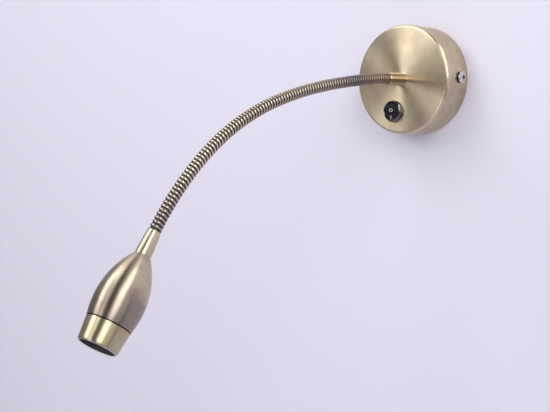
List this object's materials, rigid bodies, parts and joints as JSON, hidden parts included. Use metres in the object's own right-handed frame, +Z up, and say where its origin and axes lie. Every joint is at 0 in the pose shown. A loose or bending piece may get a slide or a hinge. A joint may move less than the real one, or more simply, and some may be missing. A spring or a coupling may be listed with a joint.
{
  "type": "wall reading lamp",
  "caption": "Small bedside wall reading lamp: round brass canopy with rocker switch, gooseneck hose and bullet-shaped LED spot head with a screwed front ring.",
  "frame": {"origin": "centre of the mounting bracket back face, midway between its two wall slots, in the plane of the wall", "axes": "+Y into the wall, +Z up, +X to the right as seen by someone who faces the lamp"},
  "size_m": [0.0862, 0.3156, 0.1995],
  "materials": {
    "canopy_brass": "antique brass plate on steel, turned and brushed, clear lacquer",
    "head_brass": "antique brass, brushed, browned towards the ring",
    "ring_brass": "satin polished brass",
    "hose_brass": "antique brass wire, dark in the grooves",
    "hose_core_steel": "blackened spring steel",
    "zinc_steel": "zinc plated",
    "nickel": "bright nickel",
    "switch_chrome": "dark chrome",
    "terminal_metal": "bare brass",
    "black_gloss": "gloss",
    "black_plastic": "matte",
    "white_plastic": "matte",
    "foam": "foam tape",
    "rubber": "matte",
    "brown_insulation": "satin PVC",
    "blue_insulation": "satin PVC",
    "green_insulation": "satin PVC",
    "white_insulation": "satin silicone",
    "sink_aluminium": "as turned",
    "board_white": "white solder mask on aluminium",
    "led_phosphor": "phosphor under a clear dome",
    "clear_lens": "clear acrylic",
    "black_anodised": "black anodised"
  },
  "bodies": {
    "wall_unit": {"base_ferrule": "canopy_brass", "cable_grommet": "rubber", "canopy_shell": "canopy_brass", "driver_case": "white_plastic", "driver_lid": "white_plastic", "driver_pad": "foam", "earth_lead": "green_insulation", "earth_lug": "terminal_metal", "earth_screw": "zinc_steel", "lamp_leads": "white_insulation", "lock_washer": "zinc_steel", "mounting_bracket": "zinc_steel", "neck_nut": "zinc_steel", "neutral_lead": "blue_insulation", "rocker_pin": "zinc_steel", "side_screws": "nickel", "switch_bezel": "switch_chrome", "switch_blades": "terminal_metal", "switch_housing": "black_plastic", "switch_leads": "brown_insulation", "terminal_block": "white_plastic", "terminal_screws": "terminal_metal", "neck_coil_0": "hose_brass", "neck_core_0": "hose_core_steel", "neck_leads_0": "white_insulation"},
    "rocker": {"switch_rocker": "black_gloss"},
    "neck_1": {"neck_coil_1": "hose_brass", "neck_core_1": "hose_core_steel", "neck_leads_1": "white_insulation"},
    "neck_2": {"neck_coil_2": "hose_brass", "neck_core_2": "hose_core_steel", "neck_leads_2": "white_insulation"},
    "neck_3": {"neck_coil_3": "hose_brass", "neck_core_3": "hose_core_steel", "neck_leads_3": "white_insulation"},
    "neck_4": {"neck_coil_4": "hose_brass", "neck_core_4": "hose_core_steel", "neck_leads_4": "white_insulation"},
    "neck_5": {"neck_coil_5": "hose_brass", "neck_core_5": "hose_core_steel", "neck_leads_5": "white_insulation"},
    "neck_6": {"neck_coil_6": "hose_brass", "neck_core_6": "hose_core_steel", "neck_leads_6": "white_insulation"},
    "head": {"neck_coil_7": "hose_brass", "neck_core_7": "hose_core_steel", "neck_leads_7": "white_insulation", "head_ferrule": "head_brass", "head_nut": "zinc_steel", "head_shell": "head_brass", "heat_sink": "sink_aluminium", "led_board": "board_white", "led_emitter": "led_phosphor", "board_screws": "zinc_steel", "lens_holder": "black_plastic", "lens": "clear_lens", "o_ring": "rubber", "front_ring": "ring_brass", "baffle_sleeve": "black_anodised"}
  },
  "joints": [
    {"name": "neck_1_lift", "type": "hinge", "parent": "wall_unit", "child": "neck_1", "pos_m": [0, -0.05719, -0.00045], "axis": [-1, 0, 0], "range_deg": [-22.5, 22.5], "deforming": ["neck_coil_0", "neck_core_0", "neck_leads_0", "neck_coil_1", "neck_core_1", "neck_leads_1"]},
    {"name": "neck_2_turn", "type": "hinge", "parent": "neck_1", "child": "neck_2", "pos_m": [0, -0.09342, -0.00394], "axis": [0, -0.1219, 0.9925], "range_deg": [-22.5, 22.5], "deforming": ["neck_coil_2", "neck_core_2", "neck_leads_2"]},
    {"name": "neck_3_lift", "type": "hinge", "parent": "neck_2", "child": "neck_3", "pos_m": [0, -0.12936, -0.00963], "axis": [-1, 0, 0], "range_deg": [-22.5, 22.5], "deforming": ["neck_coil_3", "neck_core_3", "neck_leads_3"]},
    {"name": "neck_4_turn", "type": "hinge", "parent": "neck_3", "child": "neck_4", "pos_m": [0, -0.16462, -0.01859], "axis": [0, -0.3007, 0.9537], "range_deg": [-22.5, 22.5], "deforming": ["neck_coil_4", "neck_core_4", "neck_leads_4"]},
    {"name": "neck_5_lift", "type": "hinge", "parent": "neck_4", "child": "neck_5", "pos_m": [0, -0.19814, -0.03265], "axis": [-1, 0, 0], "range_deg": [-22.5, 22.5], "deforming": ["neck_coil_5", "neck_core_5", "neck_leads_5"]},
    {"name": "neck_6_turn", "type": "hinge", "parent": "neck_5", "child": "neck_6", "pos_m": [0, -0.22827, -0.05296], "axis": [0, -0.6428, 0.766], "range_deg": [-22.5, 22.5], "deforming": ["neck_coil_6", "neck_core_6", "neck_leads_6"]},
    {"name": "neck_7_lift", "type": "hinge", "parent": "neck_6", "child": "head", "pos_m": [0, -0.25397, -0.07867], "axis": [-1, 0, 0], "range_deg": [-22.5, 22.5], "deforming": ["neck_coil_7", "neck_core_7", "neck_leads_7"]},
    {"name": "switch_rock", "type": "hinge", "parent": "wall_unit", "child": "rocker", "pos_m": [-0.0064, -0.0265, -0.0231], "axis": [-1, 0, 0], "range_deg": [0, 20]}
  ]
}
